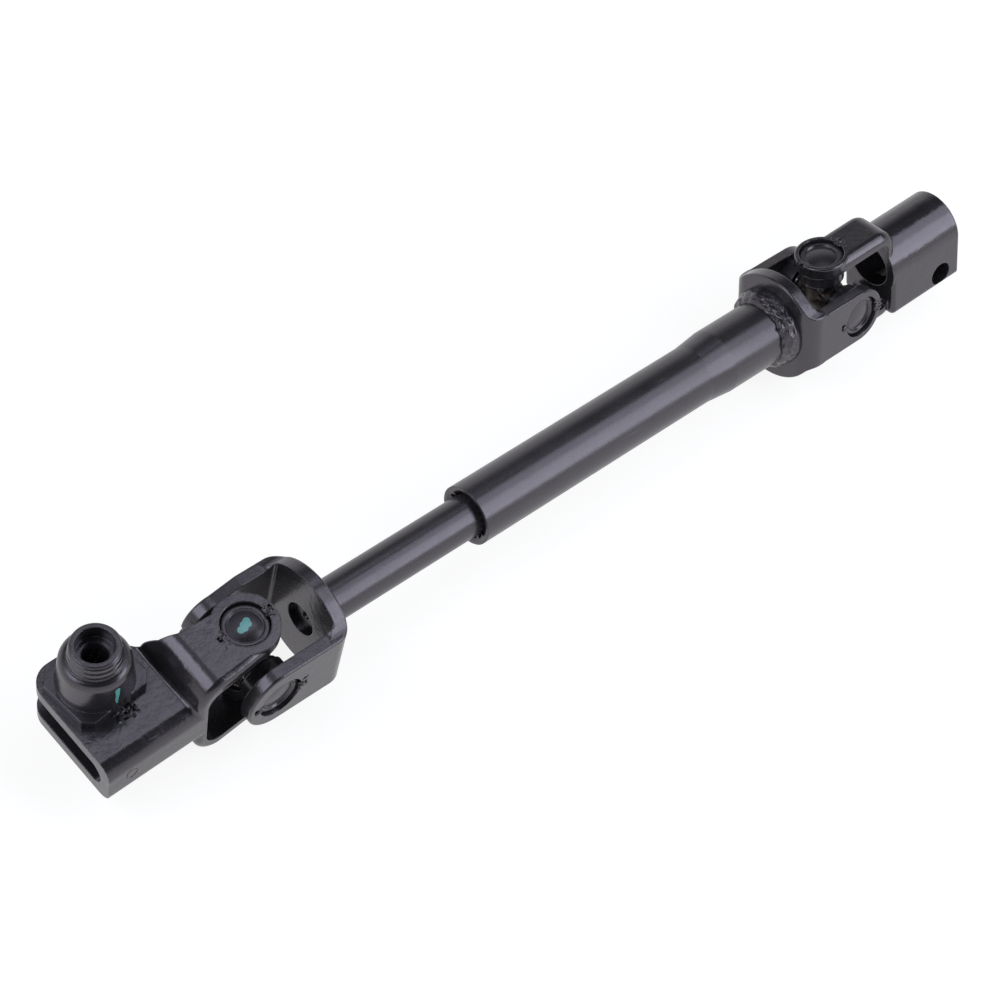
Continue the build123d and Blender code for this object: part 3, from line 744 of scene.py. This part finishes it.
# %% [markdown]
# The table, the lamps and the view
#
# The shaft lies on a white table. Two soft lamps run parallel to the tube, and
# each draws one light band along it: a strong one on its near side and a weaker
# one on top. A dim ceiling and a strip behind it keep the flat tops dark grey,
# a lamp at the left lights the nut, and the table lights the sides from below.

# %% A white table that keeps a soft shadow
TABLE_GLOW = 0.86
TABLE_GLOW_PAPER = 0.26
TABLE_SHINE = 0.68
TABLE_PAPER = 0.30


def through_camera(tree, seen, otherwise):
    """Mixes two shaders: the first for what the camera sees directly."""
    path = tree.nodes.new("ShaderNodeLightPath")
    blend = tree.nodes.new("ShaderNodeMixShader")
    tree.links.new(path.outputs["Is Camera Ray"], blend.inputs[0])
    tree.links.new(otherwise, blend.inputs[1])
    tree.links.new(seen, blend.inputs[2])
    return blend.outputs[0]


def glowing_paper(tree, grey, glow):
    """Matt paper of a grey that also gives its own light."""
    paper = tree.nodes.new("ShaderNodeBsdfDiffuse")
    paper.inputs["Color"].default_value = (grey, grey, grey, 1)
    light = tree.nodes.new("ShaderNodeEmission")
    light.inputs["Strength"].default_value = glow
    both = tree.nodes.new("ShaderNodeAddShader")
    tree.links.new(paper.outputs[0], both.inputs[0])
    tree.links.new(light.outputs[0], both.inputs[1])
    return both.outputs[0]


def table_material():
    """White, with more glow for the camera so that only shadows show."""
    material = bpy.data.materials.new("white_table")
    material.use_nodes = True
    tree = material.node_tree
    tree.nodes.clear()
    lit = glowing_paper(tree, TABLE_PAPER, TABLE_SHINE)
    seen = glowing_paper(tree, TABLE_GLOW_PAPER, TABLE_GLOW)
    out = tree.nodes.new("ShaderNodeOutputMaterial")
    tree.links.new(through_camera(tree, seen, lit), out.inputs["Surface"])
    return material


print("table paper ready")

# %% The table under the shaft
TABLE_HALF = 4.0
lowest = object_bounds()[0].z
corners = TABLE_HALF * np.array([(-1, -1), (1, -1), (1, 1), (-1, 1)])
table_mesh = bpy.data.meshes.new("table")
table_points = np.column_stack([corners, np.full(4, lowest)])
table_mesh.from_pydata(table_points.tolist(), [], [(0, 1, 2, 3)])
table = bpy.data.objects.new("table", table_mesh)
bpy.context.scene.collection.objects.link(table)
table.data.materials.append(table_material())
print("table at z in mm:", round(lowest / MM, 2))

# %% The room: white near the horizon, dark overhead
HORIZON_TOP = 0.20
DARK_FROM = 0.66
HORIZON_LIGHT = 0.95
OVERHEAD_LIGHT = 0.02
world = bpy.data.worlds.new("studio")
bpy.context.scene.world = world
world.use_nodes = True
tree = world.node_tree
tree.nodes.clear()
direction = tree.nodes.new("ShaderNodeTexCoord")
parts = tree.nodes.new("ShaderNodeSeparateXYZ")
fall = tree.nodes.new("ShaderNodeMapRange")
fall.interpolation_type = "SMOOTHSTEP"
fall.inputs["From Min"].default_value = HORIZON_TOP
fall.inputs["From Max"].default_value = DARK_FROM
fall.inputs["To Min"].default_value = HORIZON_LIGHT
fall.inputs["To Max"].default_value = OVERHEAD_LIGHT
room = tree.nodes.new("ShaderNodeBackground")
white = tree.nodes.new("ShaderNodeBackground")
out = tree.nodes.new("ShaderNodeOutputWorld")
tree.links.new(direction.outputs["Generated"], parts.inputs[0])
tree.links.new(parts.outputs["Z"], fall.inputs["Value"])
tree.links.new(fall.outputs["Result"], room.inputs["Strength"])
mixed = through_camera(tree, white.outputs[0], room.outputs[0])
tree.links.new(mixed, out.inputs["Surface"])
print("room ready")

# %% Soft lamps
LAMP_COLOUR = (0.90, 0.95, 1.05)


def soft_lamp(name, target, toward, distance, size, radiance, facing=None):
    """A rectangle of light. It faces its target, or away from the given side.

    Its power is the radiance times pi times the area.
    """
    light = bpy.data.lights.new(name, "AREA")
    light.shape = "RECTANGLE"
    light.size, light.size_y = size
    light.energy = radiance * math.pi * size[0] * size[1]
    light.color = LAMP_COLOUR
    thing = bpy.data.objects.new(name, light)
    bpy.context.scene.collection.objects.link(thing)
    toward = unit(toward)
    thing.location = np.array(target) + distance * toward
    back = Vector(facing if facing is not None else toward)
    thing.rotation_mode = "QUATERNION"
    thing.rotation_quaternion = (-back).to_track_quat("-Z", "Y")
    print(name, "gives", round(light.energy, 1), "W")


print("lamp recipe ready")

# %% Two lamps along the tube
KEY_MIDDLE = 0.47
KEY_LENGTH = 0.74
KEY_RADIUS = 1.09


def over_tube(name, angle, span, radiance):
    """A lamp parallel to the tube, at an angle from straight up towards the viewer.

    The span is the angle it covers as seen from the tube.
    """
    tilt = math.radians(angle)
    facing = (0, -math.sin(tilt), math.cos(tilt))
    height = 2 * KEY_RADIUS * math.tan(math.radians(span) / 2)
    target = (KEY_MIDDLE, 0, 0)
    size = (KEY_LENGTH, height)
    soft_lamp(name, target, facing, KEY_RADIUS, size, radiance, facing)


over_tube("key", angle=48, span=44, radiance=3.0)
over_tube("key_top", angle=11, span=32, radiance=1.75)

# %% A ceiling, a strip behind and a lamp at the left
UPWARD = (0, 0, 1)
soft_lamp("ceiling", (-0.22, 0.70, 0), UPWARD, distance=1.2, size=(1.6, 0.8), radiance=0.38)
soft_lamp("strip", (0.06, 0.41, 0), UPWARD, distance=1.19, size=(0.62, 0.24), radiance=1.3)
LEFT_AND_UP = (-0.62, 0.28, 0.75)
soft_lamp("left", (-0.30, 0, 0), LEFT_AND_UP, distance=1.3, size=(0.8, 0.8), radiance=2.4)

# %% The camera, where the photographer stood
FOCAL_LENGTH = 99.14
CAMERA_PLACE = (-0.66432, -0.30908, 0.70832)
CAMERA_TURN = (0.894679, 0.259215, -0.189343, -0.310653)
camera_data = bpy.data.cameras.new("camera")
camera_data.lens = FOCAL_LENGTH
camera_data.sensor_width = 36.0
camera_data.clip_start = 0.05
camera_data.clip_end = 20
camera = bpy.data.objects.new("camera", camera_data)
camera.location = CAMERA_PLACE
camera.rotation_mode = "QUATERNION"
camera.rotation_quaternion = CAMERA_TURN
bpy.context.scene.collection.objects.link(camera)
bpy.context.scene.camera = camera
bpy.context.scene.view_settings.view_transform = "Standard"
print("camera ready")
